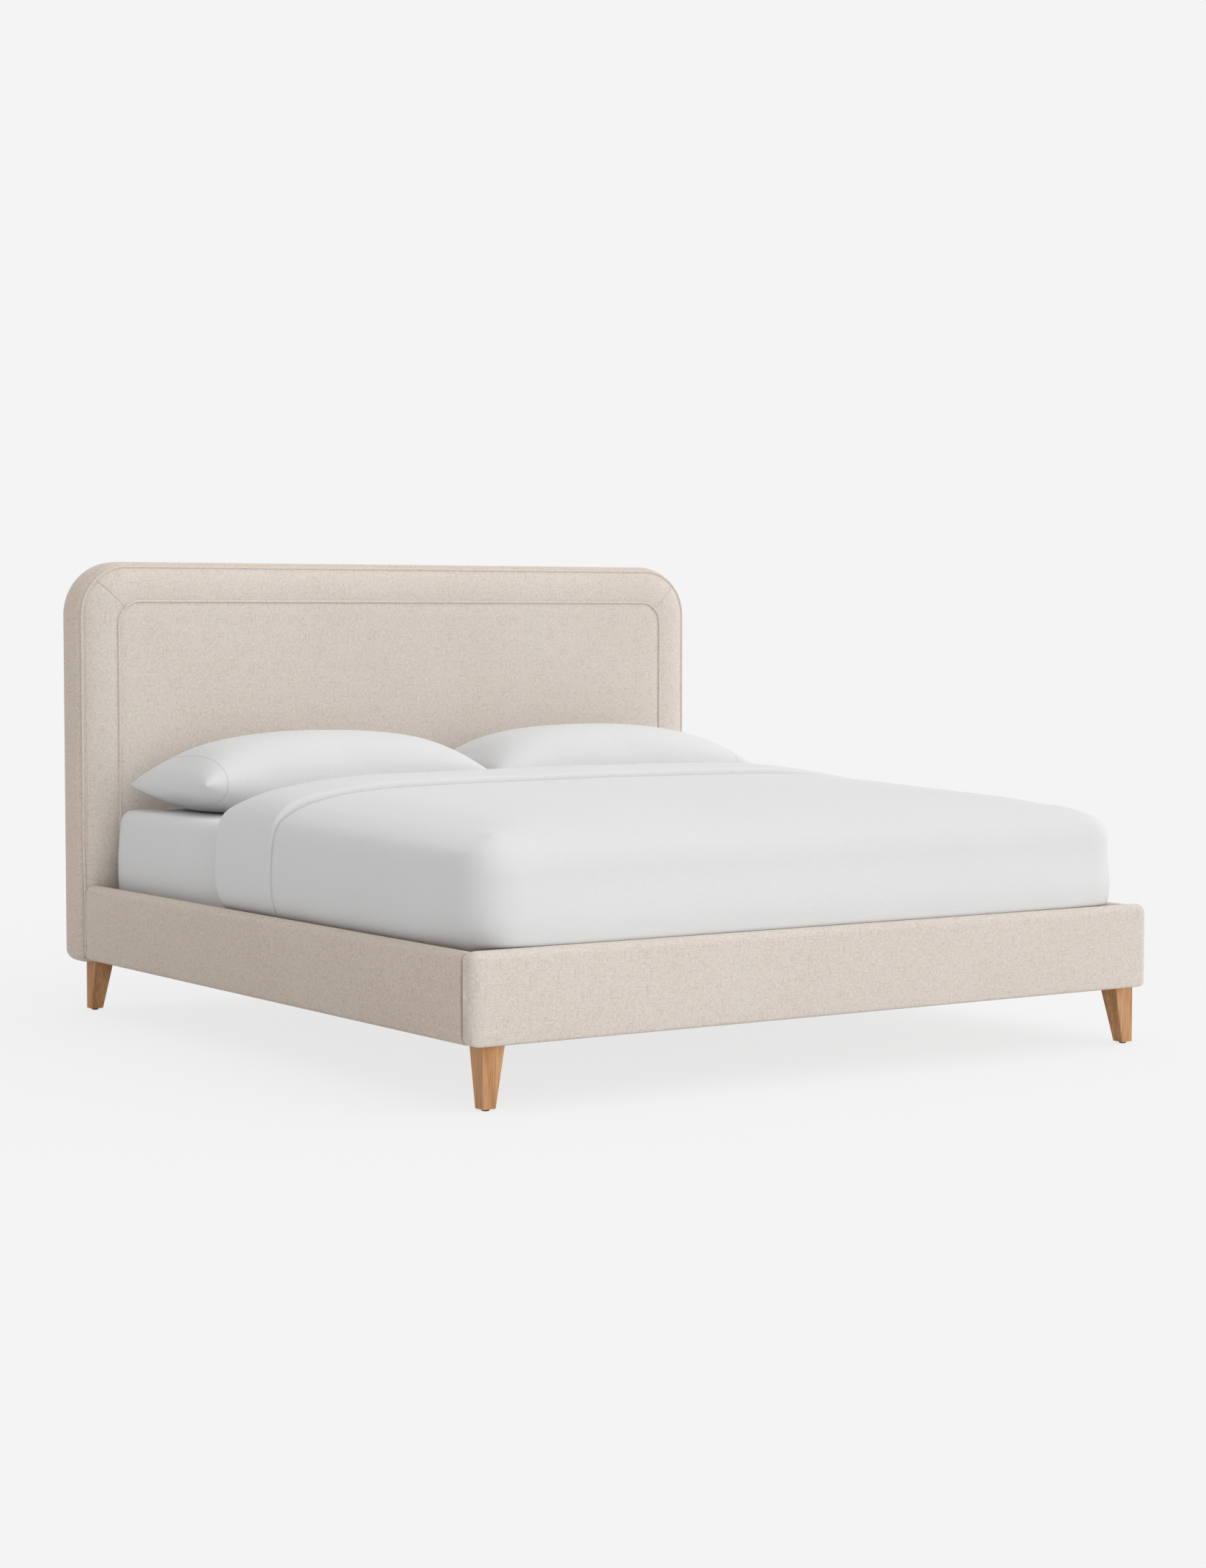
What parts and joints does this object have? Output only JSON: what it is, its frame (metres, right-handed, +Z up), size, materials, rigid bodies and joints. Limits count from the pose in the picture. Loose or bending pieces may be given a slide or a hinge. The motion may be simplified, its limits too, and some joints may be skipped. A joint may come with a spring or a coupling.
{
  "type": "upholstered bed",
  "caption": "Upholstered platform bed with a welted, bordered headboard, padded rails, tapered wooden legs, slatted base, mattress, sheets, duvet and pillows.",
  "frame": {"origin": "on the floor, under the middle of the bed's outer box", "axes": "+Z up, +Y towards the headboard, +X to the right of a person at the foot who faces the headboard"},
  "size_m": [2.078, 2.212, 1.265],
  "materials": {
    "oatmeal_linen": "matte",
    "backing_cloth": "matte",
    "foam": "matte",
    "pine": "matte",
    "plywood": "matte",
    "leg_wood": "satin",
    "dark_plastic": "matte",
    "zinc_steel": "satin",
    "webbing": "matte",
    "mattress_ticking": "matte",
    "white_cotton": "matte"
  },
  "bodies": {
    "frame": {"headboard_top_rail": "pine", "headboard_bottom_rail": "pine", "headboard_corner_blocks": "pine", "headboard_face_panel": "plywood", "headboard_front_pad": "foam", "headboard_edge_pad": "foam", "headboard_centre_cover": "oatmeal_linen", "headboard_border_cover": "oatmeal_linen", "headboard_boxing": "oatmeal_linen", "headboard_outer_welt": "oatmeal_linen", "headboard_inner_welt": "oatmeal_linen", "headboard_back_cover": "backing_cloth", "left_headboard_post": "pine", "right_headboard_post": "pine", "left_rail_board": "plywood", "right_rail_board": "plywood", "left_rail_pad": "foam", "right_rail_pad": "foam", "left_rail_cover": "oatmeal_linen", "right_rail_cover": "oatmeal_linen", "left_slat_ledger": "pine", "right_slat_ledger": "pine", "footboard_board": "plywood", "footboard_pad": "foam", "footboard_cover": "oatmeal_linen", "foot_corner_blocks": "pine", "left_foot_leg": "leg_wood", "right_foot_leg": "leg_wood", "left_head_leg": "leg_wood", "right_head_leg": "leg_wood", "leg_glides": "dark_plastic", "leg_hanger_bolts": "zinc_steel", "rail_brackets": "zinc_steel", "bracket_bolts": "zinc_steel", "head_cross_rail": "pine", "centre_beam": "pine", "beam_hangers": "zinc_steel", "centre_leg_head": "pine", "centre_leg_middle": "pine", "slat_webbing": "webbing", "slat_01": "pine", "slat_02": "pine", "slat_03": "pine", "slat_04": "pine", "slat_05": "pine", "slat_06": "pine", "slat_07": "pine", "slat_08": "pine", "slat_09": "pine", "slat_10": "pine", "slat_11": "pine"},
    "mattress_set": {"mattress": "mattress_ticking", "fitted_sheet": "white_cotton", "top_sheet": "white_cotton", "duvet": "white_cotton"},
    "left_pillow": {"left_pillow": "white_cotton"},
    "right_pillow": {"right_pillow": "white_cotton"},
    "head_leveller": {"leveller_head": "zinc_steel"},
    "middle_leveller": {"leveller_middle": "zinc_steel"}
  },
  "joints": [
    {"name": "mattress_lift", "type": "slide", "parent": "frame", "child": "mattress_set", "axis": [0, 0, 1], "range_m": [0, 0.3]},
    {"name": "left_pillow_lift", "type": "slide", "parent": "mattress_set", "child": "left_pillow", "axis": [0, 0, 1], "range_m": [0, 0.25]},
    {"name": "right_pillow_lift", "type": "slide", "parent": "mattress_set", "child": "right_pillow", "axis": [0, 0, 1], "range_m": [0, 0.25]},
    {"name": "head_leveller_screw", "type": "slide", "parent": "frame", "child": "head_leveller", "axis": [0, 0, 1], "range_m": [0, 0.015]},
    {"name": "middle_leveller_screw", "type": "slide", "parent": "frame", "child": "middle_leveller", "axis": [0, 0, 1], "range_m": [0, 0.015]}
  ]
}
